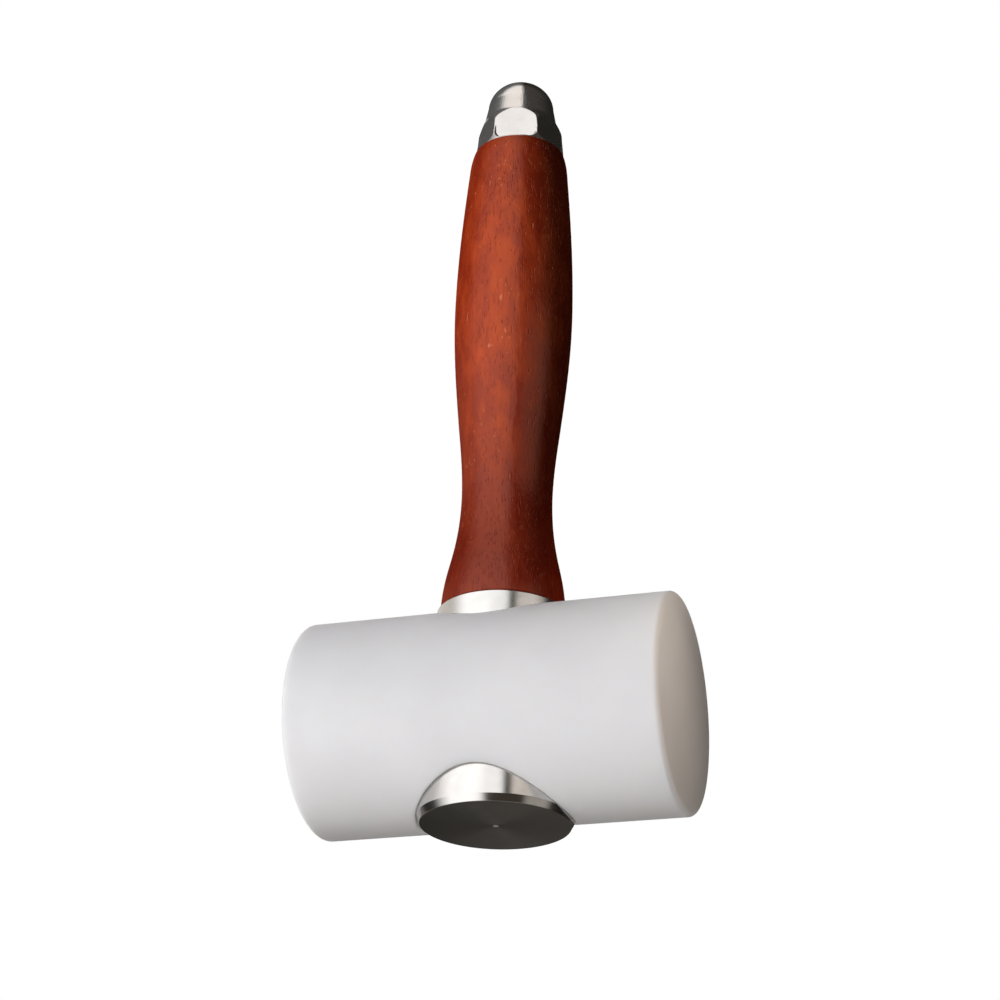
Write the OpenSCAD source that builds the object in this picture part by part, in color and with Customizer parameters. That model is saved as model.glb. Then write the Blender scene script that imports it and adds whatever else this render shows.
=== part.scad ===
// Leathercraft mallet: a nylon head, a steel core plug, a collar, a turned handle and a domed cap nut,
// all clamped by one steel rod. Millimetres, +Z up the handle, origin at the centre of the plug's face.

/* [Head] */
// Diameter of the nylon head
head_d = 50; // [44:1:60]
// Length of the nylon head from one striking face to the other
head_len = 86; // [70:1:110]
// Radius of the rounded rim round each striking face
head_rim_r = 1.2; // [0.6:0.2:5]

/* [Core plug] */
// Diameter of the plug's wide lower end
plug_d = 35.4; // [30:0.2:38]
// Height of the plug's wide end
plug_h = 24; // [16:1:28]
// How far the plug's face stands below the head
plug_proud = 0.4; // [0.2:0.1:2]
// Width of the chamfer round the plug's face, across the face
plug_chamfer_w = 0.8; // [0.3:0.1:2]
// Height of the chamfer round the plug's face, up the wall
plug_chamfer_h = 1.6; // [0.4:0.1:3]
// Diameter of the lathe's centre mark in the plug's face
mark_d = 1.6; // [0.8:0.1:3]
// Depth of the centre mark
mark_depth = 0.5; // [0.2:0.1:1.5]
// Diameter of the plug's shank
shank_d = 18; // [14:0.5:19]
// Depth of the threaded hole in the shank
shank_hole_depth = 22; // [12:1:24]

/* [Collar] */
// Outer diameter of the collar
collar_d = 30.4; // [30:0.2:34]
// Height of the collar below the handle
collar_h = 10; // [8:0.5:14]
// How far the collar's top face stands above the head
collar_proud = 0.3; // [0.1:0.1:3]
// Thickness of the collar's web over the end of the shank
collar_web = 4; // [3.5:0.5:5]
// Diameter of the spigot that centres the handle
spigot_d = 14; // [12:0.5:16]
// Height of the spigot
spigot_h = 7; // [4:0.5:12]

/* [Handle] */
// Length of the handle from the collar to the cap nut
handle_len = 126.4; // [115:0.2:150]
// Diameter of the handle's foot, at the collar
foot_d = 28.9; // [27:0.1:30]
// Diameter of the throat, where the foot's flare is steepest
throat_d = 25.6; // [23:0.1:27]
// Steepest angle of the foot's flare, from the handle's axis
throat_angle = 13.2; // [6:0.2:18]
// Diameter of the waist
waist_d = 21.5; // [19:0.1:24]
// Diameter of the swell, where the grip widens fastest
swell_d = 24.7; // [23:0.1:26]
// Angle of the swell, from the handle's axis
swell_angle = 6.3; // [3:0.1:8]
// Diameter of the grip at its fullest
grip_d = 28.9; // [27:0.1:34]
// Diameter of the shoulder, just under the handle's top
shoulder_d = 25; // [23:0.1:27]
// Angle of the shoulder, from the handle's axis
shoulder_angle = 4.9; // [2:0.1:8]
// Diameter of the handle's top, at the cap nut
top_d = 22.9; // [22:0.1:25]
// Angle of the rounding at the handle's top, from the handle's axis
top_angle = 19; // [8:1:30]
// Height of the throat above the foot
throat_h = 12; // [9:0.5:15]
// Height of the waist above the foot
waist_h = 29.5; // [22:0.5:36]
// Height of the swell above the foot
swell_h = 50; // [42:0.5:58]
// Height of the fullest part of the grip above the foot
grip_h = 81; // [70:0.5:90]
// Distance of the shoulder below the handle's top
shoulder_drop = 6.5; // [4:0.5:10]
// Chamfer on the foot's lower edge
foot_chamfer = 0.4; // [0.2:0.1:1]

/* [Tie rod] */
// Diameter of the rod, over its threads
rod_d = 8; // [6:0.5:9]
// Chamfer on the rod's ends
rod_chamfer = 1; // [0.4:0.1:1.5]

/* [Cap nut] */
// Width of the nut across its wrench flats
hex_af = 18.8; // [17.6:0.1:19.6]
// Height of the milled flats
flat_h = 9.1; // [6:0.1:10]
// Width of the narrow land that the cutter leaves between two flats
land_w = 0.25; // [0.15:0.05:1]
// Radius that the cutter leaves in the corners of each flat
flat_corner_r = 2.1; // [0.8:0.1:3]
// Turn of the flats about the axis, in degrees
hex_turn = 11; // [-30:0.5:30]
// Diameter of the nut's skirt where it meets the handle
skirt_d = 22.7; // [22:0.1:24]
// Height of the skirt under the flats
skirt_h = 0.4; // [0.3:0.1:2]
// Diameter of the turned band at its upper edge
band_d = 21.4; // [20:0.1:22]
// Height of the band's upper edge above the handle
band_h = 7; // [5:0.2:9]
// Diameter of the wall's foot, where the curve from the band ends
neck_d = 18.4; // [18:0.1:20]
// Height of the wall's foot above the handle
neck_h = 10.6; // [9.2:0.2:11.6]
// Diameter of the wall at its shoulder, where it turns over into the rounded top
shoulder_top_d = 16.8; // [15:0.1:18]
// Height of the tapered wall, from the handle to the shoulder
nut_wall_h = 15; // [12:0.2:18]
// Height of the rounded top above the wall
nut_dome_h = 7.4; // [5:0.2:9]
// Depth of the nut's threaded hole above the handle
nut_hole_h = 16; // [10:0.5:17]

/* [Inside the handle] */
// Diameter of the cap nut's spigot
nut_spigot_d = 13.6; // [12:0.2:16]
// Height of the cap nut's spigot
nut_spigot_h = 5; // [3:0.5:9]
// Thickness of the conical spring washer's metal
washer_t = 0.9; // [0.6:0.1:1.5]
// Height of the spring washer's cone
washer_cone_h = 0.5; // [0.2:0.1:1]
// Diameter of the dowel pins
pin_d = 2; // [1.5:0.1:2.4]
// Length of the dowel pins in the collar
pin_collar_len = 3; // [2:0.5:3]
// Length of the dowel pins in the handle
pin_handle_len = 5; // [3:0.5:6]
// Diameter of the circle that the dowel pins stand on
pin_circle_d = 21; // [20:0.2:22]

/* [Edges and clearances] */
// Small chamfer that breaks the steel pieces' edges
edge_break = 0.35; // [0.2:0.05:0.8]
// Radial gap of a press seat, such as the plug in the head
seat_gap = 0.05; // [0.02:0.01:0.15]
// Radial gap round the rod in the handle, and round the spigots
rod_gap = 0.2; // [0.1:0.05:0.4]
// Radial gap of the rod in its threaded holes
thread_gap = 0.03; // [0.01:0.01:0.08]
// Free length left at the end of a blind hole
end_gap = 0.6; // [0.3:0.1:1.5]

/* [Hidden] */

// Fineness of turned faces, and points in each arc and span of a profile
turned_fn = 96;
arc_steps = 12;
span_steps = 12;
// Drill point of a blind hole, from the level
drill_angle = 31;
// Length by which a cutting tool runs past the face it cuts
overrun = 1;
pin_count = 2;
hex_sides = 6;

// Heights of the stack, from the plug's face upwards, and the width of a wrench flat
head_axis_z = plug_proud + head_d / 2;
head_top_z = plug_proud + head_d;
collar_top_z = head_top_z + collar_proud;
collar_seat_z = collar_top_z - collar_h;
shank_top_z = collar_top_z - collar_web - end_gap;
shank_hole_z = shank_top_z - shank_hole_depth;
foot_z = collar_top_z;
handle_top_z = foot_z + handle_len;
nut_hole_z = handle_top_z + nut_hole_h;
rod_bottom_z = shank_hole_z + end_gap;
rod_top_z = nut_hole_z - end_gap;
washer_top_z = handle_top_z - nut_spigot_h;
washer_floor_z = washer_top_z - washer_t - washer_cone_h;
flat_base_z = handle_top_z + skirt_h;
flat_w = hex_af * tan(180 / hex_sides) - land_w;
nut_shoulder_z = handle_top_z + nut_wall_h;

// Radii of the holes that take the rod, the spigots and the pins
rod_hole_r = rod_d / 2 + thread_gap;
rod_bore_r = rod_d / 2 + rod_gap;
spigot_bore_r = spigot_d / 2 + rod_gap;
nut_bore_r = nut_spigot_d / 2 + rod_gap;
pin_hole_r = pin_d / 2 + thread_gap;
washer_r = nut_spigot_d / 2;

// The handle's outline: height over the foot, radius, and slope of the radius
lathe_stations = [
    [0, foot_d / 2, 0],
    [throat_h, throat_d / 2, -tan(throat_angle)],
    [waist_h, waist_d / 2, 0],
    [swell_h, swell_d / 2, tan(swell_angle)],
    [grip_h, grip_d / 2, 0],
    [handle_len - shoulder_drop, shoulder_d / 2, -tan(shoulder_angle)],
    [handle_len, top_d / 2, -tan(top_angle)]
];

// Points of an arc about a centre, from one angle to another
function arc(cx, cy, r, from, to) = [
    for (i = [0 : arc_steps])
        let (a = from + (to - from) * i / arc_steps)
        [cx + r * cos(a), cy + r * sin(a)]
];

// Radius on a smooth span between two stations of height, radius and slope, at the share t of the way
function span_r(a, b, t) =
    let (h = b[0] - a[0])
    (2 * t ^ 3 - 3 * t ^ 2 + 1) * a[1] + (3 * t ^ 2 - 2 * t ^ 3) * b[1]
    + (t ^ 3 - 2 * t ^ 2 + t) * h * a[2] + (t ^ 3 - t ^ 2) * h * b[2];

// Points of the handle's outline from the foot to the top, above the foot's chamfer
function handle_outline() = concat(
    [
        for (k = [0 : len(lathe_stations) - 2], i = [0 : span_steps - 1])
            let (a = lathe_stations[k], b = lathe_stations[k + 1], t = i / span_steps)
            if (a[0] + t * (b[0] - a[0]) > foot_chamfer)
                [span_r(a, b, t), foot_z + a[0] + t * (b[0] - a[0])]
    ],
    [[top_d / 2, handle_top_z]]
);

// Blind drilled hole from a mouth at z = top down to z = bottom, with a drill point below
module drilled_hole(r, bottom, top) {
    translate([0, 0, bottom])
        cylinder(r = r, h = top - bottom, $fn = turned_fn);
    translate([0, 0, bottom - r * tan(drill_angle)])
        cylinder(r1 = 0, r2 = r, h = r * tan(drill_angle), $fn = turned_fn);
}

// Dowel pins, or the holes that take them
module pin_ring(r, bottom, top) {
    for (i = [0 : pin_count - 1])
        rotate([0, 0, 360 * i / pin_count])
            translate([pin_circle_d / 2, 0, bottom])
                cylinder(r = r, h = top - bottom, $fn = turned_fn);
}

// Nylon head: a round bar with rounded rims, bored across for the plug, its shank and the collar
module head_barrel() {
    outline = concat(
        [[0, -head_len / 2]],
        arc(head_d / 2 - head_rim_r, head_rim_r - head_len / 2, head_rim_r, -90, 0),
        arc(head_d / 2 - head_rim_r, head_len / 2 - head_rim_r, head_rim_r, 0, 90),
        [[0, head_len / 2]]
    );
    color([0.9, 0.9, 0.91])
        difference() {
            translate([0, 0, head_axis_z])
                rotate([0, 90, 0])
                    rotate_extrude($fn = turned_fn)
                        polygon(outline);
            translate([0, 0, -overrun])
                cylinder(d = plug_d + 2 * seat_gap, h = plug_h + overrun, $fn = turned_fn);
            translate([0, 0, plug_h - overrun])
                cylinder(
                    d = shank_d + 2 * seat_gap,
                    h = collar_seat_z - plug_h + 2 * overrun,
                    $fn = turned_fn
                );
            translate([0, 0, collar_seat_z])
                cylinder(d = collar_d + 2 * seat_gap, h = collar_h + overrun, $fn = turned_fn);
        }
}

// Steel core plug: a wide chamfered end with the lathe's centre mark, and a shank tapped for the rod
module core_plug() {
    outline = [
        [0, mark_depth],
        [mark_d / 2, 0],
        [plug_d / 2 - plug_chamfer_w, 0],
        [plug_d / 2, plug_chamfer_h],
        [plug_d / 2, plug_h - edge_break],
        [plug_d / 2 - edge_break, plug_h],
        [shank_d / 2, plug_h],
        [shank_d / 2, shank_top_z - edge_break],
        [shank_d / 2 - edge_break, shank_top_z],
        [0, shank_top_z]
    ];
    color([0.78, 0.77, 0.75])
        difference() {
            rotate_extrude($fn = turned_fn)
                polygon(outline);
            drilled_hole(rod_hole_r, shank_hole_z, shank_top_z + overrun);
        }
}

// Steel collar: a ring seated in the head over the end of the shank, with a spigot into the handle
module collar() {
    outer = collar_d / 2;
    cup_r = shank_d / 2 + seat_gap;
    cup_z = shank_top_z + end_gap;
    outline = [
        [cup_r, collar_seat_z],
        [outer - edge_break, collar_seat_z],
        [outer, collar_seat_z + edge_break],
        [outer, collar_top_z - edge_break],
        [outer - edge_break, collar_top_z],
        [spigot_d / 2, collar_top_z],
        [spigot_d / 2, collar_top_z + spigot_h - edge_break],
        [spigot_d / 2 - edge_break, collar_top_z + spigot_h],
        [rod_bore_r, collar_top_z + spigot_h],
        [rod_bore_r, cup_z],
        [cup_r, cup_z]
    ];
    color([0.86, 0.85, 0.83])
        difference() {
            rotate_extrude($fn = turned_fn)
                polygon(outline);
            pin_ring(pin_hole_r, foot_z - pin_collar_len, foot_z + overrun);
        }
}

// Turned hardwood handle, bored through for the rod and counterbored at both ends
module handle() {
    outline = concat(
        [[0, foot_z], [foot_d / 2 - foot_chamfer, foot_z]],
        [[foot_d / 2, foot_z + foot_chamfer]],
        handle_outline(),
        [[0, handle_top_z]]
    );
    color([0.5, 0.17, 0.08])
        difference() {
            rotate_extrude($fn = turned_fn)
                polygon(outline);
            translate([0, 0, foot_z - overrun])
                cylinder(r = rod_bore_r, h = handle_len + 2 * overrun, $fn = turned_fn);
            translate([0, 0, foot_z - overrun])
                cylinder(r = spigot_bore_r, h = spigot_h + end_gap + overrun, $fn = turned_fn);
            translate([0, 0, washer_floor_z])
                cylinder(r = nut_bore_r, h = handle_top_z - washer_floor_z + overrun, $fn = turned_fn);
            pin_ring(pin_hole_r, foot_z - overrun, foot_z + pin_handle_len + end_gap);
        }
}

// Outline of the cap nut as turned: spigot, band, a curve in to the tapered wall, and a rounded top
function nut_outline() =
    let (
        shoulder_r = shoulder_top_d / 2,
        band_slope = (band_d - skirt_d) / 2 / band_h,
        wall_slope = (shoulder_top_d - neck_d) / 2 / (nut_wall_h - neck_h),
        band = [band_h, band_d / 2, band_slope],
        neck = [neck_h, neck_d / 2, wall_slope]
    )
    concat(
        [
            [0, washer_top_z],
            [nut_spigot_d / 2, washer_top_z],
            [nut_spigot_d / 2, handle_top_z],
            [skirt_d / 2, handle_top_z]
        ],
        [
            for (i = [0 : span_steps])
                let (t = i / span_steps)
                [span_r(band, neck, t), handle_top_z + band_h + t * (neck_h - band_h)]
        ],
        [
            for (i = [0 : arc_steps - 1])
                let (a = 90 * i / arc_steps)
                [shoulder_r * cos(a), nut_shoulder_z + nut_dome_h * sin(a)]
        ],
        [[0, nut_shoulder_z + nut_dome_h]]
    );

// Sweep of the end mill that cuts one wrench flat: a plate with rounded corners, outside the flat
module flat_cutter() {
    r = flat_corner_r;
    x = flat_w / 2 - r;
    y = flat_h / 2 - r;
    outline = concat(
        arc(x, y, r, 0, 90),
        arc(-x, y, r, 90, 180),
        arc(-x, -y, r, 180, 270),
        arc(x, -y, r, 270, 360)
    );
    translate([hex_af / 2, 0, flat_base_z + flat_h / 2])
        rotate([90, 0, 90])
            linear_extrude(skirt_d / 2)
                polygon(outline);
}

// Domed steel cap nut: a turned, tapered body with six milled flats and a threaded blind hole
module cap_nut() {
    color([0.6, 0.59, 0.57])
        difference() {
            rotate_extrude($fn = turned_fn)
                polygon(nut_outline());
            for (i = [0 : hex_sides - 1])
                rotate([0, 0, hex_turn + 360 * (i + 0.5) / hex_sides])
                    flat_cutter();
            translate([0, 0, washer_top_z - overrun])
                cylinder(r = rod_hole_r, h = nut_hole_z - washer_top_z + overrun, $fn = turned_fn);
            translate([0, 0, nut_hole_z])
                cylinder(r1 = rod_hole_r, r2 = 0, h = rod_hole_r * tan(drill_angle), $fn = turned_fn);
        }
}

// Steel rod that clamps the stack, threaded into the plug's shank and the cap nut
module tie_rod() {
    r = rod_d / 2;
    outline = [
        [0, rod_bottom_z],
        [r - rod_chamfer, rod_bottom_z],
        [r, rod_bottom_z + rod_chamfer],
        [r, rod_top_z - rod_chamfer],
        [r - rod_chamfer, rod_top_z],
        [0, rod_top_z]
    ];
    color([0.55, 0.55, 0.57])
        rotate_extrude($fn = turned_fn)
            polygon(outline);
}

// Conical spring washer between the handle's counterbore and the cap nut's spigot
module spring_washer() {
    outline = [
        [rod_bore_r, washer_top_z - washer_t],
        [rod_bore_r, washer_top_z],
        [washer_r, washer_floor_z + washer_t],
        [washer_r, washer_floor_z]
    ];
    color([0.45, 0.45, 0.47])
        rotate_extrude($fn = turned_fn)
            polygon(outline);
}

// Dowel pins that stop the handle from turning on the collar
module dowel_pins() {
    color([0.5, 0.5, 0.52])
        pin_ring(pin_d / 2, foot_z - pin_collar_len, foot_z + pin_handle_len);
}

head_barrel();
core_plug();
collar();
handle();
cap_nut();
tie_rod();
spring_washer();
dowel_pins();
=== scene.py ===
import math

import bmesh
import bpy
from mathutils import Matrix, Vector
from mathutils.bvhtree import BVHTree


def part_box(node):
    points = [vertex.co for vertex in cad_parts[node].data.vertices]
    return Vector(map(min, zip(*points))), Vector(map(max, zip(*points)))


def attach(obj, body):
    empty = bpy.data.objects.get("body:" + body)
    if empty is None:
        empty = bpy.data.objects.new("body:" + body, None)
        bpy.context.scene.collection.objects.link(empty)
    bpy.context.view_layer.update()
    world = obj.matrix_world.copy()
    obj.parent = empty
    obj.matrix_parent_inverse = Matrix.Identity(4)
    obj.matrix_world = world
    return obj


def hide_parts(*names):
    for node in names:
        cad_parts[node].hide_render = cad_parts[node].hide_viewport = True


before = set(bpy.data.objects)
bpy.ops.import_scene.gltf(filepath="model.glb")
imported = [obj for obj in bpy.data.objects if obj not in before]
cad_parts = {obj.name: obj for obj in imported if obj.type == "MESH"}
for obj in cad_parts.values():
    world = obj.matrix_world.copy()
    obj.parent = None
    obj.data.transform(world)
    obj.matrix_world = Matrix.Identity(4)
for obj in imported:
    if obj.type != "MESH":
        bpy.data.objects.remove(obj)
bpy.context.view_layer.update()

MM = 0.001

# Sizes taken from the frame
head_low, head_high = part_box("head_barrel")
head_r = (head_high.z - head_low.z) / 2
head_axis_z = (head_high.z + head_low.z) / 2
head_len = head_high.x - head_low.x
nut_base_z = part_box("handle")[1].z


def direction(azimuth, elevation):
    """Unit vector towards a point seen at that azimuth and elevation, counted as the camera's are."""
    a = math.radians(azimuth)
    e = math.radians(elevation)
    return Vector((math.sin(a) * math.cos(e), -math.cos(a) * math.cos(e), math.sin(e)))


def equal_turns(count):
    """Angles of that many equal steps round a circle."""
    return [2 * math.pi * i / count for i in range(count)]


def link(thing):
    """Puts the object into the scene."""
    bpy.context.scene.collection.objects.link(thing)
    return thing


# Camera: where it stands, where it looks and how it is turned, as seen in the photograph

CAMERA_PLACE = (0.155348, -0.467482, -0.163597)
CAMERA_AZIMUTH = 18.577
CAMERA_ELEVATION = -26.354
CAMERA_ROLL = 2.154
CAMERA_LENS = 83.653
SENSOR_WIDTH = 36.0
CLIP_NEAR = 0.01
CLIP_FAR = 20


def make_camera():
    """The photograph's camera."""
    data = bpy.data.cameras.new("camera")
    data.sensor_width = SENSOR_WIDTH
    data.lens = CAMERA_LENS
    data.clip_start = CLIP_NEAR
    data.clip_end = CLIP_FAR
    camera = link(bpy.data.objects.new("camera", data))
    back = direction(CAMERA_AZIMUTH, CAMERA_ELEVATION)
    level_right = Vector((0, 0, 1)).cross(back).normalized()
    right = Matrix.Rotation(math.radians(CAMERA_ROLL), 3, back) @ level_right
    up = back.cross(right)
    basis = Matrix((right, up, back)).transposed().to_4x4()
    camera.matrix_world = Matrix.Translation(CAMERA_PLACE) @ basis
    bpy.context.scene.camera = camera


# Node helpers

def node(tree, kind, inputs=None, **settings):
    """New node. An input that is given a socket is linked to it, and any other value is set on it."""
    made = tree.nodes.new(kind)
    for key, value in settings.items():
        setattr(made, key, value)
    for key, value in (inputs or {}).items():
        if isinstance(value, bpy.types.NodeSocket):
            tree.links.new(value, made.inputs[key])
        else:
            made.inputs[key].default_value = value
    return made


def empty_tree(owner):
    """Node tree of a material or of the world, without the nodes that it starts with."""
    owner.use_nodes = True
    owner.node_tree.nodes.clear()
    return owner.node_tree


def new_material(name):
    """New material, its node tree and the place on the object that its patterns follow."""
    material = bpy.data.materials.new(name)
    tree = empty_tree(material)
    return material, tree, node(tree, "ShaderNodeTexCoord").outputs["Object"]


def math_node(tree, operation, *values):
    """Result of one sum, such as ADD, on sockets or numbers."""
    return node(tree, "ShaderNodeMath", dict(enumerate(values)), operation=operation).outputs[0]


def ramp(tree, value, low, high, to_low=0.0, to_high=1.0, smooth=True):
    """Value taken from the range low..high to the range to_low..to_high, with a soft start and end."""
    inputs = {0: value, 1: low, 2: high, 3: to_low, 4: to_high}
    kind = "SMOOTHSTEP" if smooth else "LINEAR"
    return node(tree, "ShaderNodeMapRange", inputs, interpolation_type=kind).outputs[0]


def noise(tree, place, scale, detail, roughness=0.5):
    """Noise with that many spots to the metre."""
    inputs = {"Vector": place, "Scale": scale, "Detail": detail, "Roughness": roughness}
    return node(tree, "ShaderNodeTexNoise", inputs).outputs["Fac"]


def stretched_noise(tree, place, scales, detail, roughness=0.5):
    """Noise with its own number of spots to the metre along each axis."""
    scaled = node(tree, "ShaderNodeMapping", {"Vector": place, "Scale": scales}).outputs[0]
    return noise(tree, scaled, 1.0, detail, roughness)


def grain(tree, place, across, along, detail, roughness=0.5):
    """Noise with one number of spots to the metre across the Z axis and another along it."""
    return stretched_noise(tree, place, (across, across, along), detail, roughness)


def radius_about(tree, place, first, second, offset=0.0):
    """Distance from an axis, from the two coordinates across it, the second counted from the offset."""
    parts = node(tree, "ShaderNodeSeparateXYZ", {0: place}).outputs
    a = parts[first]
    b = math_node(tree, "SUBTRACT", parts[second], offset)
    squares = math_node(tree, "ADD", math_node(tree, "MULTIPLY", a, a), math_node(tree, "MULTIPLY", b, b))
    return math_node(tree, "SQRT", squares)


def blend_colour(tree, share, first, second):
    """The first colour, taken to the second by that share."""
    inputs = {0: share, 6: first, 7: second}
    return node(tree, "ShaderNodeMix", inputs, data_type="RGBA").outputs[2]


def bump(tree, height, distance, strength, normal=None):
    """Normal of a relief, on top of another relief's normal where one is given."""
    inputs = {"Height": height, "Distance": distance, "Strength": strength}
    if normal is not None:
        inputs["Normal"] = normal
    return node(tree, "ShaderNodeBump", inputs).outputs[0]


def principled(tree, **inputs):
    """Principled shader, its inputs named with low lines in place of blanks."""
    named = {key.replace("_", " "): value for key, value in inputs.items()}
    return node(tree, "ShaderNodeBsdfPrincipled", named).outputs[0]


def reflection(tree, colour, roughness, normal):
    """Shader that only reflects."""
    inputs = {"Color": colour, "Roughness": roughness, "Normal": normal}
    return node(tree, "ShaderNodeBsdfAnisotropic", inputs).outputs[0]


def mixed(tree, share, first, second):
    """The first shader, taken to the second by that share."""
    return node(tree, "ShaderNodeMixShader", {0: share, 1: first, 2: second}).outputs[0]


def output(tree, shader, kind="ShaderNodeOutputMaterial"):
    """Makes that shader the result of the tree."""
    node(tree, kind, {"Surface": shader})


# Nylon: colours of its clouds, colour and reach of the light inside it, and height of its turning marks

NYLON_LOW = (0.838, 0.834, 0.856, 1)
NYLON_HIGH = (0.878, 0.874, 0.896, 1)
NYLON_BLEED = (1.0, 0.97, 0.92)
NYLON_BLEED_REACH = 2.2 * MM
NYLON_RING_HEIGHT = 0.6


def nylon_material():
    """Translucent white nylon, with the turning marks of its round wall and of its flat ends."""
    material, tree, place = new_material("nylon")
    cloud = ramp(tree, noise(tree, place, 45.0, detail=3.0), 0.3, 0.7)
    colour = blend_colour(tree, cloud, NYLON_LOW, NYLON_HIGH)
    wall_rings = stretched_noise(tree, place, (3200, 60, 60), detail=2.0)
    end_place = node(tree, "ShaderNodeCombineXYZ", {0: radius_about(tree, place, 1, 2, head_axis_z)})
    end_rings = noise(tree, end_place.outputs[0], 2600.0, detail=2.0)
    relief = noise(tree, place, 1400.0, detail=3.0)
    for rings in (end_rings, wall_rings):
        relief = math_node(tree, "ADD", relief, math_node(tree, "MULTIPLY", rings, NYLON_RING_HEIGHT))
    normal = bump(tree, relief, 0.02 * MM, strength=0.35)
    rough = ramp(tree, noise(tree, place, 130.0, detail=4.0), 0.3, 0.7, 0.40, 0.52)
    output(tree, principled(tree, Base_Color=colour, Roughness=rough, Normal=normal,
                            Subsurface_Weight=1.0, Subsurface_Radius=NYLON_BLEED,
                            Subsurface_Scale=NYLON_BLEED_REACH, Specular_IOR_Level=0.25, IOR=1.5))
    return material


# Hardwood: colours of its body, then of the gleam that its fibres add

WOOD_LOW = (0.25, 0.016, 0.003, 1)
WOOD_HIGH = (0.43, 0.039, 0.006, 1)
WOOD_CLOUD = (0.22, 0.013, 0.003, 1)
WOOD_FIBRE = (0.15, 0.008, 0.002, 1)
WOOD_PORE = (0.10, 0.006, 0.002, 1)
WOOD_FLECK = (0.85, 0.26, 0.12, 1)
WOOD_FOOT = (0.12, 0.008, 0.003, 1)
WOOD_TOP = (0.16, 0.010, 0.003, 1)
GLEAM_LOW = (0.78, 0.10, 0.010, 1)
GLEAM_HIGH = (1.0, 0.19, 0.018, 1)
GLEAM_FOOT = (0.20, 0.02, 0.004, 1)
GLEAM_TOP = (0.30, 0.03, 0.005, 1)
OIL_COLOUR = (1.0, 0.92, 0.82, 1)

# Heights between which the handle darkens towards its foot and towards its top, and how far
FOOT_DARK_BELOW = 55 * MM
FOOT_PLAIN_ABOVE = 130 * MM
FOOT_SHADE = 0.68
TOP_PLAIN_BELOW = 150 * MM
TOP_DARK_ABOVE = 190 * MM
TOP_SHADE = 0.34

# Shares of the fibres' gleam and of the oil's gloss in what the wood reflects
FIBRE_GLEAM = 0.16
OIL_GLOSS = 0.032


def darker_ends(tree, place, colour, foot_colour, top_colour):
    """The colour, darkened towards the handle's foot and towards its top."""
    height = node(tree, "ShaderNodeSeparateXYZ", {0: place}).outputs[2]
    foot = ramp(tree, height, FOOT_DARK_BELOW, FOOT_PLAIN_ABOVE, FOOT_SHADE, 0.0)
    top = ramp(tree, height, TOP_PLAIN_BELOW, TOP_DARK_ABOVE, 0.0, TOP_SHADE)
    colour = blend_colour(tree, foot, colour, foot_colour)
    return blend_colour(tree, top, colour, top_colour)


def wood_pores(tree, place):
    """Share of pore at each place, with more pores where a broad noise crowds them."""
    pores = grain(tree, place, 2800, 380, detail=1.0)
    crowding = ramp(tree, noise(tree, place, 120.0, detail=2.0), 0.35, 0.6, 0.0, 0.06)
    return ramp(tree, math_node(tree, "ADD", pores, crowding), 0.66, 0.76)


def wood_flecks(tree, place):
    """Share of light fleck at each place, in scattered groups."""
    flecks = grain(tree, place, 1700, 560, detail=0.0)
    groups = ramp(tree, noise(tree, place, 110.0, detail=1.0), 0.48, 0.6)
    return math_node(tree, "MULTIPLY", ramp(tree, flecks, 0.74, 0.80), groups)


def wood_colour(tree, place, figure, fibre, pore):
    """Figure, clouds, fibres, pores and flecks, each over those before it."""
    colour = blend_colour(tree, figure, WOOD_LOW, WOOD_HIGH)
    layers = (
        (ramp(tree, grain(tree, place, 75, 30, detail=2.0), 0.35, 0.7, 0.0, 0.35), WOOD_CLOUD),
        (ramp(tree, fibre, 0.35, 0.65, 0.0, 0.28), WOOD_FIBRE),
        (math_node(tree, "MULTIPLY", pore, 0.35), WOOD_PORE),
        (math_node(tree, "MULTIPLY", wood_flecks(tree, place), 0.5), WOOD_FLECK),
    )
    for share, layer_colour in layers:
        colour = blend_colour(tree, share, colour, layer_colour)
    return darker_ends(tree, place, colour, WOOD_FOOT, WOOD_TOP)


def wood_relief(tree, place, fibre, pore):
    """Normal of the wood: soft dimples, and over them the fibres and the pores as small grooves."""
    dimples = grain(tree, place, 330, 170, detail=2.0, roughness=0.6)
    soft_normal = bump(tree, dimples, 0.24 * MM, strength=0.6)
    relief = math_node(tree, "SUBTRACT", math_node(tree, "MULTIPLY", fibre, 0.25), pore)
    return bump(tree, relief, 0.06 * MM, strength=1.0, normal=soft_normal)


def wood_material():
    """Oiled hardwood: a matt body, a warm gleam along its fibres and a thin gloss of oil over both."""
    material, tree, place = new_material("hardwood")
    streaks = grain(tree, place, 240, 100, detail=4.0, roughness=0.6)
    figure = ramp(tree, streaks, 0.33, 0.70)
    fibre = grain(tree, place, 1500, 110, detail=3.0, roughness=0.6)
    pore = wood_pores(tree, place)
    colour = wood_colour(tree, place, figure, fibre, pore)
    normal = wood_relief(tree, place, fibre, pore)
    body = principled(tree, Base_Color=colour, Roughness=0.5, Normal=normal, Specular_IOR_Level=0.0)
    gleam_colour = blend_colour(tree, figure, GLEAM_LOW, GLEAM_HIGH)
    gleam_colour = darker_ends(tree, place, gleam_colour, GLEAM_FOOT, GLEAM_TOP)
    gleam = reflection(tree, gleam_colour, 0.42, normal)
    gloss = reflection(tree, OIL_COLOUR, ramp(tree, streaks, 0.3, 0.7, 0.24, 0.34), normal)
    output(tree, mixed(tree, OIL_GLOSS, mixed(tree, FIBRE_GLEAM, body, gleam), gloss))
    return material


# Steels: colour, roughness, anisotropy, depth of the turning rings, and how far scratches and smudges show

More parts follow.
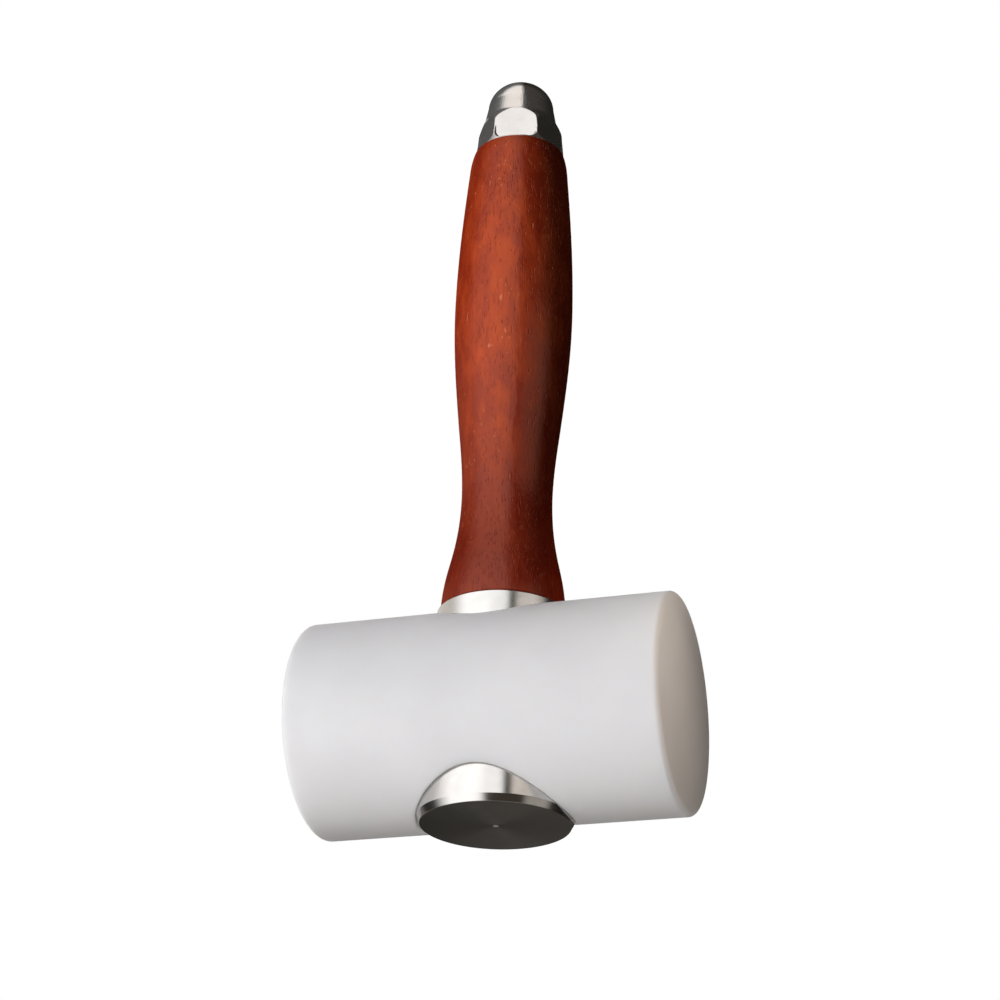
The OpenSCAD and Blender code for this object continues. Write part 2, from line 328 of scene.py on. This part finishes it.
STEELS = {
    "plug_steel": ((0.66, 0.65, 0.64), 0.17, 0.3, 0.002 * MM, 1.0),
    "plug_face_steel": ((0.50, 0.485, 0.46), 0.25, 0.8, 0.003 * MM, 0.3),
    "collar_steel": ((0.66, 0.655, 0.645), 0.20, 0.3, 0.003 * MM, 1.0),
    "nut_steel": ((0.66, 0.65, 0.64), 0.22, 0.3, 0.002 * MM, 1.0),
    "rod_steel": ((0.5, 0.5, 0.51), 0.3, 0.2, 0.004 * MM, 1.0),
    "spring_steel": ((0.26, 0.26, 0.27), 0.35, 0.1, 0.004 * MM, 1.0),
    "pin_steel": ((0.55, 0.55, 0.56), 0.2, 0.2, 0.003 * MM, 1.0),
}

# Height of the scratches beside the rings, and by what shares smudges polish, dull and darken the steel
SCRATCH_HEIGHT = 0.4
SMUDGE_POLISH = 0.15
SMUDGE_DULLING = 0.2
SMUDGE_SHADE = 0.07


def steel_material(name, colour, roughness, anisotropy, ring_depth, wear):
    """Turned steel: fine rings about the Z axis, smudges and small scratches."""
    material, tree, place = new_material(name)
    height = node(tree, "ShaderNodeSeparateXYZ", {0: place}).outputs[2]
    radius = radius_about(tree, place, 0, 1)
    ring_place = node(tree, "ShaderNodeCombineXYZ", {0: radius, 2: height}).outputs[0]
    rings = noise(tree, ring_place, 5200.0, detail=3.0, roughness=0.7)
    scratches = grain(tree, place, 700, 5200, detail=2.0)
    relief = math_node(tree, "ADD", rings, math_node(tree, "MULTIPLY", scratches, SCRATCH_HEIGHT * wear))
    normal = bump(tree, relief, ring_depth, strength=0.5)
    smudge = noise(tree, place, 240.0, detail=4.0)
    polished = roughness * (1 - SMUDGE_POLISH * wear)
    dulled = roughness * (1 + SMUDGE_DULLING * wear)
    shade = tuple(c * (1 - SMUDGE_SHADE * wear) for c in colour)
    smudged = blend_colour(tree, ramp(tree, smudge, 0.35, 0.75), (*colour, 1), (*shade, 1))
    tangent = node(tree, "ShaderNodeTangent", direction_type="RADIAL", axis="Z").outputs[0]
    output(tree, principled(tree, Base_Color=smudged, Metallic=1.0, Normal=normal, Tangent=tangent,
                            Roughness=ramp(tree, smudge, 0.3, 0.7, polished, dulled),
                            Anisotropic=anisotropy, Anisotropic_Rotation=0.25))
    return material


# Meshes

MERGE_DISTANCE = 0.0005 * MM


def mesh_from(name, bm):
    """The finished mesh of that name."""
    mesh = bpy.data.meshes.new(name)
    bm.to_mesh(mesh)
    bm.free()
    return mesh


def finish_mesh(name, bm, materials, node_name):
    """Makes the piece from its mesh, smooth shaded, in place of the node of the frame."""
    bmesh.ops.remove_doubles(bm, verts=bm.verts, dist=MERGE_DISTANCE)
    bmesh.ops.recalc_face_normals(bm, faces=bm.faces)
    mesh = mesh_from(name, bm)
    mesh.polygons.foreach_set("use_smooth", [True] * len(mesh.polygons))
    for material in materials:
        mesh.materials.append(material)
    piece = link(bpy.data.objects.new(name, mesh))
    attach(piece, "root")
    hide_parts(node_name)
    return piece


def ring(bm, radius, height, turns):
    """Row of vertices round the Z axis."""
    return [bm.verts.new((radius * math.cos(t), radius * math.sin(t), height)) for t in turns]


def bridge(bm, first, second, closed=True):
    """Faces between two rows of as many vertices, with three corners where two of the four are one."""
    count = len(first)
    for i in range(count if closed else count - 1):
        j = (i + 1) % count
        corners = [first[i], first[j], second[j], second[i]]
        if len(set(corners)) > 2:
            bm.faces.new(list(dict.fromkeys(corners)))


def skin(bm, rows, closed=True):
    """Faces from each row to the next, with each row a ring unless closed is false."""
    for first, second in zip(rows, rows[1:]):
        bridge(bm, first, second, closed)


# Turned pieces

TURNED_SEGMENTS = 256

# Half plane about Z on which their outlines are read, which misses the holes of the dowel pins
SECTION_ANGLE = math.pi / 2

# How far a point may lie from a straight line, or from the axis, and still count as on it
SLACK = 0.002 * MM

# Rounding of the steel pieces' edges and of the handle's foot
STEEL_EDGE = 0.14 * MM
WOOD_EDGE = 0.2 * MM

# Corners that turn by fewer degrees than SHARP stay, and an arc takes at most LONGEST_CUT of a side
SHARP = 25.0
ARC_STEPS = 4
LONGEST_CUT = 0.4

# Distance from an arc of the point that keeps the flat beside it flat in smooth shading
SUPPORT = 0.03 * MM

# Decimals of a millimetre by which two ends of edges are told apart
KEY_DECIMALS = 4

# The plug's turned face and its centre mark lie below this height and look down by more than this
FACE_BELOW = 0.51 * MM
FACE_DOWN = 0.5


def section_of(node_name):
    """Ordered (radius, height) points of a turned node's section, and whether they form a ring."""
    bm = bmesh.new()
    bm.from_mesh(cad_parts[node_name].data)
    side = Vector((-math.sin(SECTION_ANGLE), math.cos(SECTION_ANGLE), 0))
    out = Vector((math.cos(SECTION_ANGLE), math.sin(SECTION_ANGLE), 0))
    everything = bm.verts[:] + bm.edges[:] + bm.faces[:]
    cut = bmesh.ops.bisect_plane(bm, geom=everything, plane_co=(0, 0, 0), plane_no=side)["geom_cut"]
    spots = {}
    neighbours = {}

    def spot(vertex):
        """Rounded place of the vertex on the half plane, under which its true place is kept."""
        radius, height = vertex.co.dot(out), vertex.co.z
        key = (round(radius / MM, KEY_DECIMALS), round(height / MM, KEY_DECIMALS))
        spots[key] = (radius, height)
        return key

    for edge in cut:
        if isinstance(edge, bmesh.types.BMEdge):
            a, b = (spot(v) for v in edge.verts)
            if a != b and min(a[0], b[0]) * MM > -SLACK:
                neighbours.setdefault(a, set()).add(b)
                neighbours.setdefault(b, set()).add(a)
    bm.free()
    return walk_round(spots, neighbours)


def walk_round(spots, neighbours):
    """The spots in order from one to the next, starting at a loose end, or else at the lowest."""
    start = min(neighbours, key=lambda k: (len(neighbours[k]) != 1, k[1], k[0]))
    path = [start]
    while True:
        ahead = [k for k in neighbours[path[-1]] if k not in path[-2:] + path[1:]]
        if not ahead or ahead[0] == start:
            break
        path.append(ahead[0])
    closed = len(neighbours[start]) > 1
    return [spots[k] for k in path], closed


def without_straight_points(points, closed):
    """The outline without the points that lie on the straight line between their neighbours."""
    count = len(points)
    kept = [] if closed else [points[0]]
    for i in range(0 if closed else 1, count if closed else count - 1):
        here = Vector(points[i])
        before = Vector(kept[-1] if kept else points[i - 1])
        line = Vector(points[(i + 1) % count]) - before
        offset = here - before
        if line.length == 0 or abs(line.cross(offset)) / line.length > SLACK:
            kept.append(points[i])
    if not closed:
        kept.append(points[-1])
    return kept


def corner_arc(corner, before, after, turn, radius):
    """Arc that rounds a corner between two sides, with a support point on each side that has room."""
    reach = min(radius * math.tan(turn / 2), before.length * LONGEST_CUT, after.length * LONGEST_CUT)
    start = corner + before.normalized() * reach
    end = corner + after.normalized() * reach
    middle = (before.normalized() + after.normalized()).normalized()
    centre = corner + middle * math.hypot(reach, reach / math.tan(turn / 2))
    arm = start - centre
    spread = (end - centre).angle_signed(arm)
    points = []
    if before.length * (1 - LONGEST_CUT) > SUPPORT:
        points.append(start + before.normalized() * SUPPORT)
    for k in range(ARC_STEPS + 1):
        a = spread * k / ARC_STEPS
        points.append(centre + Vector((arm.x * math.cos(a) - arm.y * math.sin(a),
                                       arm.x * math.sin(a) + arm.y * math.cos(a))))
    if after.length * (1 - LONGEST_CUT) > SUPPORT:
        points.append(end + after.normalized() * SUPPORT)
    return points


def with_round_corners(points, closed, radius):
    """The outline with an arc of that radius at each sharp corner."""
    rounded = []
    for i, point in enumerate(points):
        here = Vector(point)
        before = Vector(points[i - 1]) - here
        after = Vector(points[(i + 1) % len(points)]) - here
        turn = math.pi - before.angle(after)
        loose_end = not closed and i in (0, len(points) - 1)
        if loose_end or math.degrees(turn) < SHARP:
            rounded.append(here)
        else:
            rounded += corner_arc(here, before, after, turn, radius)
    return rounded


def lathe(outline, closed):
    """Closed mesh of an outline of (radius, height) points turned about the Z axis."""
    bm = bmesh.new()
    turns = equal_turns(TURNED_SEGMENTS)
    rows = []
    for radius, height in outline:
        if radius < SLACK:
            rows.append([bm.verts.new((0, 0, height))] * TURNED_SEGMENTS)
        else:
            rows.append(ring(bm, radius, height, turns))
    if closed:
        rows.append(rows[0])
    skin(bm, rows)
    return bm


def turned_piece(name, node_name, materials, edge_radius):
    """Piece turned from the node's own outline, with its edges rounded."""
    outline, closed = section_of(node_name)
    outline = without_straight_points(outline, closed)
    outline = with_round_corners(outline, closed, edge_radius)
    return finish_mesh(name, lathe(outline, closed), materials, node_name)


def use_face_steel(plug):
    """Gives the plug's turned face its second material."""
    for face in plug.data.polygons:
        if face.center.z < FACE_BELOW and face.normal.z < -FACE_DOWN:
            face.material_index = 1


# Head, with the sizes that its box doesn't give

RIM_RADIUS = 1.2 * MM
MOUTH_RADIUS = 0.45 * MM
PLUG_BORE = 17.75 * MM
PLUG_BORE_TOP = 24.0 * MM
SHANK_BORE = 9.05 * MM
COLLAR_BORE = 15.25 * MM
COLLAR_BORE_FLOOR = 40.7 * MM

# Square patch of the barrel round each mouth: half its length and half its angle round the barrel,
# the steps along a side and from the border in to the mouth, and how these crowd near the mouth
PATCH_X = 24.0 * MM
PATCH_ANGLE = math.radians(60)
PATCH_SIDE = 48
PATCH_RINGS = 12
PATCH_CROWDING = 1.6
MOUTH_STEPS = 6

# The rest of the barrel, and its flat ends, made of rings at these shares of their radius
BARREL_SEGMENTS = 144
WALL_STEPS = 16
RIM_STEPS = 8
FLAT_SHARES = (0.998, 0.9, 0.75, 0.6, 0.45, 0.3, 0.15)


def patch_border(i):
    """Point i of the square border of a bore's patch, as (x, angle round the barrel)."""
    side, step = divmod((i + PATCH_SIDE // 2) % (4 * PATCH_SIDE), PATCH_SIDE)
    t = 2 * step / PATCH_SIDE - 1
    corner = [(1, t), (-t, 1), (-1, -t), (t, -1)][side]
    return corner[0] * PATCH_X, corner[1] * PATCH_ANGLE


def patch_turns():
    """Angle about the bore's axis of each point of the patch's border."""
    borders = [patch_border(i) for i in range(4 * PATCH_SIDE)]
    return [math.atan2(angle * head_r, x) for x, angle in borders]


def barrel_point(x, angle, up):
    """Point of the barrel's round wall, with the angle counted from its lowest or highest line."""
    return Vector((x, head_r * math.sin(angle), head_axis_z + up * head_r * math.cos(angle)))


def bore_column(border, turn, bore, up):
    """Points at one angle about the bore, from the patch's border over the rounded mouth to its wall.

    The mouth's arc touches the bore's wall and the slope of the barrel beside it.
    """
    border_x, border_angle = border
    sine = math.sin(turn)
    depth = math.sqrt(head_r ** 2 - (bore * sine) ** 2)
    slope = bore * sine * sine / depth
    slant = math.hypot(1, slope)
    reach = MOUTH_RADIUS * (slope + slant)
    rim = bore + reach / slant
    start_x = rim * math.cos(turn)
    start_angle = math.asin(rim * sine / head_r)
    column = []
    for k in range(PATCH_RINGS, -1, -1):
        t = (k / PATCH_RINGS) ** PATCH_CROWDING
        column.append(barrel_point(start_x + (border_x - start_x) * t,
                                   start_angle + (border_angle - start_angle) * t, up))
    sweep = math.pi / 2 + math.atan(slope)
    for k in range(1, MOUTH_STEPS + 1):
        a = math.atan(slope) - math.pi / 2 - sweep * k / MOUTH_STEPS
        radius = bore + MOUTH_RADIUS + MOUTH_RADIUS * math.cos(a)
        height = reach - depth + MOUTH_RADIUS * math.sin(a)
        column.append(Vector((radius * math.cos(turn), radius * sine, head_axis_z - up * height)))
    return column


def bore_rows(bm, turns, bore, up):
    """Rows of vertices from the patch's border in to the bore's wall."""
    columns = []
    for i, turn in enumerate(turns):
        columns.append([bm.verts.new(p) for p in bore_column(patch_border(i), turn, bore, up)])
    return list(zip(*columns))


def add_cross_bore(bm):
    """Both mouths with their patches, and the bore's three widths between them."""
    turns = patch_turns()
    low_rows = bore_rows(bm, turns, PLUG_BORE, -1)
    high_rows = bore_rows(bm, turns, COLLAR_BORE, 1)
    inner = [
        ring(bm, PLUG_BORE, PLUG_BORE_TOP, turns),
        ring(bm, SHANK_BORE, PLUG_BORE_TOP, turns),
        ring(bm, SHANK_BORE, COLLAR_BORE_FLOOR, turns),
        ring(bm, COLLAR_BORE, COLLAR_BORE_FLOOR, turns),
    ]
    skin(bm, low_rows + inner + high_rows[::-1])


def wall_row(bm, x, radius, angles):
    """Row of vertices round the barrel's axis, with the angles counted from its lowest line."""
    return [bm.verts.new((x, radius * math.sin(a), head_axis_z - radius * math.cos(a))) for a in angles]


def add_end(bm, side):
    """The barrel from the patches out to one end, its rounded rim and its flat face."""
    angles = equal_turns(BARREL_SEGMENTS)
    end_x = head_len / 2
    flat_r = head_r - RIM_RADIUS
    wall_end = end_x - RIM_RADIUS
    rows = []
    for k in range(WALL_STEPS + 1):
        rows.append(wall_row(bm, side * (PATCH_X + (wall_end - PATCH_X) * k / WALL_STEPS), head_r, angles))
    for k in range(1, RIM_STEPS + 1):
        a = math.pi / 2 * k / RIM_STEPS
        x = side * (wall_end + RIM_RADIUS * math.sin(a))
        rows.append(wall_row(bm, x, flat_r + RIM_RADIUS * math.cos(a), angles))
    for share in FLAT_SHARES:
        rows.append(wall_row(bm, side * end_x, flat_r * share, angles))
    rows.append([bm.verts.new((side * end_x, 0, head_axis_z))] * BARREL_SEGMENTS)
    skin(bm, rows)


def add_flank(bm, side):
    """The barrel between the two patches, in front or behind."""
    span = math.pi - 2 * PATCH_ANGLE
    steps = round(BARREL_SEGMENTS * span / (2 * math.pi))
    first = PATCH_ANGLE if side == 1 else 2 * math.pi - PATCH_ANGLE
    angles = [first + side * span * k / steps for k in range(steps + 1)]
    stations = [-PATCH_X + 2 * PATCH_X * k / PATCH_SIDE for k in range(PATCH_SIDE + 1)]
    skin(bm, [wall_row(bm, x, head_r, angles) for x in stations], closed=False)


def head_mesh():
    """The cross-bored nylon head."""
    bm = bmesh.new()
    add_cross_bore(bm)
    for side in (-1, 1):
        add_end(bm, side)
    for side in (1, -1):
        add_flank(bm, side)
    return bm


# Cap nut, with the heights over its base that its box doesn't give

NUT_SHOULDER_Z = nut_base_z + 15.0 * MM
NUT_HOLE_TOP_Z = nut_base_z + 16.0 * MM
NUT_HOLE = 4.03 * MM
NUT_DRILL_POINT = 2.4 * MM
NUT_SPIGOT = 6.8 * MM

# Rays that feel its outside: how many go round, how far apart they are up the wall, where the first
# row lies over the base, how many rows fan over the dome and how far off they start
NUT_AROUND = 480
NUT_WALL_STEP = 0.11 * MM
NUT_FIRST_ROW = 0.02 * MM
NUT_DOME_STEPS = 40
NUT_RAY_START = 20 * MM

# Times that its edges are eased, and the share that each point takes of its neighbours' middle
EASING_ROUNDS = 2
EASING_SHARE = 0.5


def nut_levels():
    """Height and tilt of each row of rays: level ones up the wall, then ones that fan over the dome."""
    wall_rows = round((NUT_SHOULDER_Z - nut_base_z) / NUT_WALL_STEP)
    wall_height = NUT_SHOULDER_Z - nut_base_z - NUT_FIRST_ROW
    levels = [(nut_base_z + NUT_FIRST_ROW + wall_height * k / wall_rows, 0.0) for k in range(wall_rows + 1)]
    for k in range(1, NUT_DOME_STEPS):
        levels.append((NUT_SHOULDER_Z, math.pi / 2 * k / NUT_DOME_STEPS))
    return levels


def felt_rows(turns):
    """Points where rays towards the nut's axis meet its node."""
    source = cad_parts["cap_nut"].data
    faces = [tuple(p.vertices) for p in source.polygons]
    tree = BVHTree.FromPolygons([v.co for v in source.vertices], faces)
    rows = []
    for height, tilt in nut_levels():
        row = []
        for a in turns:
            out = Vector((math.cos(a) * math.cos(tilt), math.sin(a) * math.cos(tilt), math.sin(tilt)))
            start = Vector((0, 0, height)) + out * NUT_RAY_START
            row.append(tree.ray_cast(start, -out)[0])
        rows.append(row)
    return rows


def eased_rows(rows):
    """The rows with each point drawn towards the middle of its four neighbours."""
    eased = [rows[0]]
    for k in range(1, len(rows) - 1):
        row = []
        for i in range(NUT_AROUND):
            near = rows[k][i - 1] + rows[k][(i + 1) % NUT_AROUND] + rows[k - 1][i] + rows[k + 1][i]
            row.append(rows[k][i] * (1 - EASING_SHARE) + near * (EASING_SHARE / 4))
        eased.append(row)
    eased.append(rows[-1])
    return eased


def nut_mesh():
    """The cap nut: the outside that the rays felt, its spigot below and its blind hole."""
    turns = equal_turns(NUT_AROUND)
    rows = felt_rows(turns)
    for _ in range(EASING_ROUNDS):
        rows = eased_rows(rows)
    low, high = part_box("cap_nut")
    bm = bmesh.new()
    outside = [[bm.verts.new(p) for p in row] for row in rows]
    outside.append([bm.verts.new((0, 0, high.z))] * NUT_AROUND)
    inside = [
        [bm.verts.new((p.x, p.y, nut_base_z)) for p in rows[0]],
        ring(bm, NUT_SPIGOT, nut_base_z, turns),
        ring(bm, NUT_SPIGOT, low.z, turns),
        ring(bm, NUT_HOLE, low.z, turns),
        ring(bm, NUT_HOLE, NUT_HOLE_TOP_Z, turns),
        [bm.verts.new((0, 0, NUT_HOLE_TOP_Z + NUT_DRILL_POINT))] * NUT_AROUND,
    ]
    skin(bm, inside[::-1] + outside)
    return bm


# Stage

# Strength of the even light that comes from all sides
AMBIENT = 0.03

# Floor: how far it lies below the object, and the radii between which it fades out
FLOOR_COLOUR = (0.92, 0.92, 0.92, 1)
FLOOR_RADIUS = 1.0
FLOOR_SEGMENTS = 64
FLOOR_DROP = 0.3 * MM
FLOOR_FULL_WITHIN = 0.15
FLOOR_GONE_BEYOND = 0.7

# Sphere that carries the cards, with the degrees from each of its points to the next
STAGE_CENTRE = Vector((0, 0, 0.09))
STAGE_RADIUS = 3.0
STAGE_STEP = 2.5

# Cards that only reflections show, each painted over those before it: name, glow, azimuths counted from
# the camera's, elevations, and the softness of its left, right, low and high edges, in degrees
DARKNESS = (0.019, 0.017, 0.015)
CARDS = {
    "floor": ((0.40, 0.38, 0.36), (-180, 180), (-91, -50), (1, 1, 1, 16)),
    "rear_dusk": ((0.09, 0.09, 0.09), (-180, -100), (20, 89), (10, 30, 10, 10)),
    "left_wall": ((0.80, 0.74, 0.68), (-176, -60), (2, 27), (40, 10, 14, 4)),
    "rear_card": ((0.45, 0.43, 0.40), (-158, -128), (-60, -8), (10, 10, 10, 14)),
    "softbox": ((1.35, 1.325, 1.31), (-89, 9), (-48, 84), (34, 8, 14, 10)),
    "softbox_top": ((1.26, 1.17, 1.10), (-76, 14), (42, 84), (34, 20, 12, 10)),
    "high_dusk": ((0.12, 0.12, 0.12), (-150, -76), (42, 84), (10, 34, 12, 10)),
    "softbox_heart": ((1.62, 1.60, 1.57), (-72, -22), (-48, 30), (22, 22, 16, 18)),
    "right_card": ((0.86, 0.78, 0.71), (20, 76), (12, 24), (9, 18, 8, 2)),
    "right_card_top": ((1.32, 1.22, 1.13), (22, 66), (21, 25), (9, 16, 4, 2)),
    "low_right": ((0.42, 0.385, 0.35), (30, 84), (-38, -6), (16, 16, 8, 10)),
    "high_right": ((0.058, 0.053, 0.048), (4, 100), (39, 84), (6, 90, 6, 10)),
    "rear_low": ((0.085, 0.079, 0.071), (140, 180), (-44, 6), (14, 1, 12, 12)),
    "front_flag": ((0.05, 0.04, 0.03), (-21, 44), (-75, -12), (14, 12, 10, 20)),
}

# The soft lamps stand this far from the stage's centre
LAMP_DISTANCE = 1.0

# The snoot stands close to the right end of the head and is brightest on its front edge
SNOOT_DISTANCE = 0.08
SNOOT_DIAMETER = 0.03
SNOOT_ANGLE = 82


def hide_from(thing, *rays):
    """Makes the object unseen by those kinds of ray, such as camera or glossy."""
    for kind in rays:
        setattr(thing, f"visible_{kind}", False)


def make_world():
    """White for camera, gloss and transmission rays, and a low even light for the rest."""
    world = bpy.data.worlds.new("studio")
    bpy.context.scene.world = world
    tree = empty_tree(world)
    path = node(tree, "ShaderNodeLightPath").outputs
    seen = math_node(tree, "MAXIMUM", path["Is Camera Ray"], path["Is Glossy Ray"])
    seen = math_node(tree, "MAXIMUM", seen, path["Is Transmission Ray"])
    strength = ramp(tree, seen, 0, 1, AMBIENT, 1.0, smooth=False)
    shader = node(tree, "ShaderNodeBackground", {"Color": (1, 1, 1, 1), "Strength": strength})
    output(tree, shader.outputs[0], "ShaderNodeOutputWorld")


def floor_material():
    """Pale matt floor, seen by the camera from above only, that fades out round the object."""
    material, tree, place = new_material("floor")
    radius = radius_about(tree, place, 0, 1)
    fade = ramp(tree, radius, FLOOR_FULL_WITHIN, FLOOR_GONE_BEYOND, 1.0, 0.0)
    front = math_node(tree, "SUBTRACT", 1.0, node(tree, "ShaderNodeNewGeometry").outputs["Backfacing"])
    by_camera = node(tree, "ShaderNodeLightPath").outputs["Is Camera Ray"]
    seen = math_node(tree, "MULTIPLY", math_node(tree, "MULTIPLY", front, fade), by_camera)
    matt = node(tree, "ShaderNodeBsdfDiffuse", {"Color": FLOOR_COLOUR}).outputs[0]
    clear = node(tree, "ShaderNodeBsdfTransparent").outputs[0]
    output(tree, mixed(tree, seen, clear, matt))
    return material


def make_floor():
    """Floor just under the object, which fades into the white background."""
    bm = bmesh.new()
    bmesh.ops.create_circle(bm, cap_ends=True, segments=FLOOR_SEGMENTS, radius=FLOOR_RADIUS)
    mesh = mesh_from("floor", bm)
    mesh.materials.append(floor_material())
    floor = link(bpy.data.objects.new("floor", mesh))
    floor.location.z = -FLOOR_DROP
    hide_from(floor, "diffuse", "glossy", "shadow")


def rise(value, limit, soft):
    """Rises from 0 to 1 across the limit, over that many degrees."""
    t = min(1.0, max(0.0, (value - limit) / soft + 0.5))
    return t * t * (3 - 2 * t)


def within(value, limits, low_soft, high_soft):
    """1 between the limits and 0 outside them, with soft edges."""
    return rise(value, limits[0], low_soft) * (1 - rise(value, limits[1], high_soft))


def card_share(azimuth, elevation, azimuths, elevations, softness):
    """Share of the card at that place, the azimuth first turned to lie nearest the card's middle."""
    middle = (azimuths[0] + azimuths[1]) / 2
    turned = (azimuth - middle + 180) % 360 - 180 + middle
    all_round = azimuths[1] - azimuths[0] >= 360
    across = 1.0 if all_round else within(turned, azimuths, softness[0], softness[1])
    return across * within(elevation, elevations, softness[2], softness[3])


def stage_glow(azimuth, elevation):
    """Colour of the stage at that place, with the azimuth counted from the camera's."""
    glow = Vector(DARKNESS)
    for colour, azimuths, elevations, softness in CARDS.values():
        share = card_share(azimuth, elevation, azimuths, elevations, softness)
        glow = glow.lerp(Vector(colour), share)
    return (*glow, 1.0)


def cards_mesh():
    """Sphere round the object, painted with the stage's glow."""
    bm = bmesh.new()
    glows = []
    rows = []
    for j in range(1, round(180 / STAGE_STEP)):
        elevation = -90 + STAGE_STEP * j
        row = []
        for i in range(round(360 / STAGE_STEP)):
            azimuth = STAGE_STEP * i
            place = STAGE_CENTRE + direction(CAMERA_AZIMUTH + azimuth, elevation) * STAGE_RADIUS
            row.append(bm.verts.new(place))
            glows.append(stage_glow(azimuth, elevation))
        rows.append(row)
    skin(bm, rows)
    bm.faces.new(rows[0][::-1])
    bm.faces.new(rows[-1])
    mesh = mesh_from("cards", bm)
    paint = mesh.color_attributes.new("glow", "FLOAT_COLOR", "POINT")
    for spot, glow in zip(paint.data, glows):
        spot.color = glow
    return mesh


def cards_material():
    """Light of the colour that is painted on the sphere."""
    material = bpy.data.materials.new("cards")
    tree = empty_tree(material)
    glow = node(tree, "ShaderNodeAttribute", attribute_name="glow").outputs["Color"]
    output(tree, node(tree, "ShaderNodeEmission", {"Color": glow, "Strength": 1.0}).outputs[0])
    return material


def make_cards():
    """The sphere of cards, which only reflections show."""
    mesh = cards_mesh()
    mesh.materials.append(cards_material())
    cards = link(bpy.data.objects.new("cards", mesh))
    hide_from(cards, "camera", "diffuse", "shadow", "transmission")


def place_light(name, data, target, azimuth, elevation, distance):
    """Stands the light off the target in that direction, shining on it and unseen itself."""
    light = link(bpy.data.objects.new(name, data))
    towards = direction(azimuth, elevation)
    turned = towards.to_track_quat("Z", "Y").to_matrix().to_4x4()
    light.matrix_world = Matrix.Translation(target + towards * distance) @ turned
    hide_from(light, "glossy", "camera")


def lamp(name, azimuth, elevation, diameter, level, colour=(1, 1, 1)):
    """Soft lamp. Level is the brightness that it alone gives a white surface that faces it."""
    data = bpy.data.lights.new(name, "AREA")
    data.shape = "DISK"
    data.size = diameter
    data.color = colour
    data.energy = level * (math.pi * LAMP_DISTANCE) ** 2
    place_light(name, data, STAGE_CENTRE, azimuth, elevation, LAMP_DISTANCE)


def snoot(name, azimuth, elevation, level, colour):
    """Small lamp close to the right end of the head, with its level counted as a lamp's."""
    data = bpy.data.lights.new(name, "SPOT")
    data.shadow_soft_size = SNOOT_DIAMETER / 2
    data.spot_size = math.radians(SNOOT_ANGLE)
    data.spot_blend = 1.0
    data.color = colour
    data.energy = level * 4 * (math.pi * SNOOT_DISTANCE) ** 2
    target = Vector((head_len / 2, -head_r, head_axis_z))
    place_light(name, data, target, azimuth, elevation, SNOOT_DISTANCE)


# The mallet on its stage

make_camera()
make_world()
make_floor()

nylon = nylon_material()
hardwood = wood_material()
steels = {name: steel_material(name, *settings) for name, settings in STEELS.items()}

finish_mesh("head", head_mesh(), [nylon], "head_barrel")
plug_steels = [steels["plug_steel"], steels["plug_face_steel"]]
use_face_steel(turned_piece("plug", "core_plug", plug_steels, STEEL_EDGE))
turned_piece("collar_ring", "collar", [steels["collar_steel"]], STEEL_EDGE)
turned_piece("grip", "handle", [hardwood], WOOD_EDGE)
finish_mesh("domed_nut", nut_mesh(), [steels["nut_steel"]], "cap_nut")

# The pieces that nothing shows keep their nodes and only take a steel
hidden_steels = {"tie_rod": "rod_steel", "spring_washer": "spring_steel", "dowel_pins": "pin_steel"}
for node_name, steel_name in hidden_steels.items():
    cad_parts[node_name].data.materials.clear()
    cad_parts[node_name].data.materials.append(steels[steel_name])

make_cards()
lamp("key", azimuth=-35, elevation=-4, diameter=0.28, level=0.85)
lamp("below", azimuth=10, elevation=-82, diameter=0.7, level=0.34, colour=(1.0, 0.96, 0.91))
lamp("rear", azimuth=199, elevation=45, diameter=0.7, level=0.82)
snoot("end_light", azimuth=80, elevation=18, level=0.58, colour=(1.0, 0.86, 0.72))

bpy.context.scene.view_settings.view_transform = "Standard"
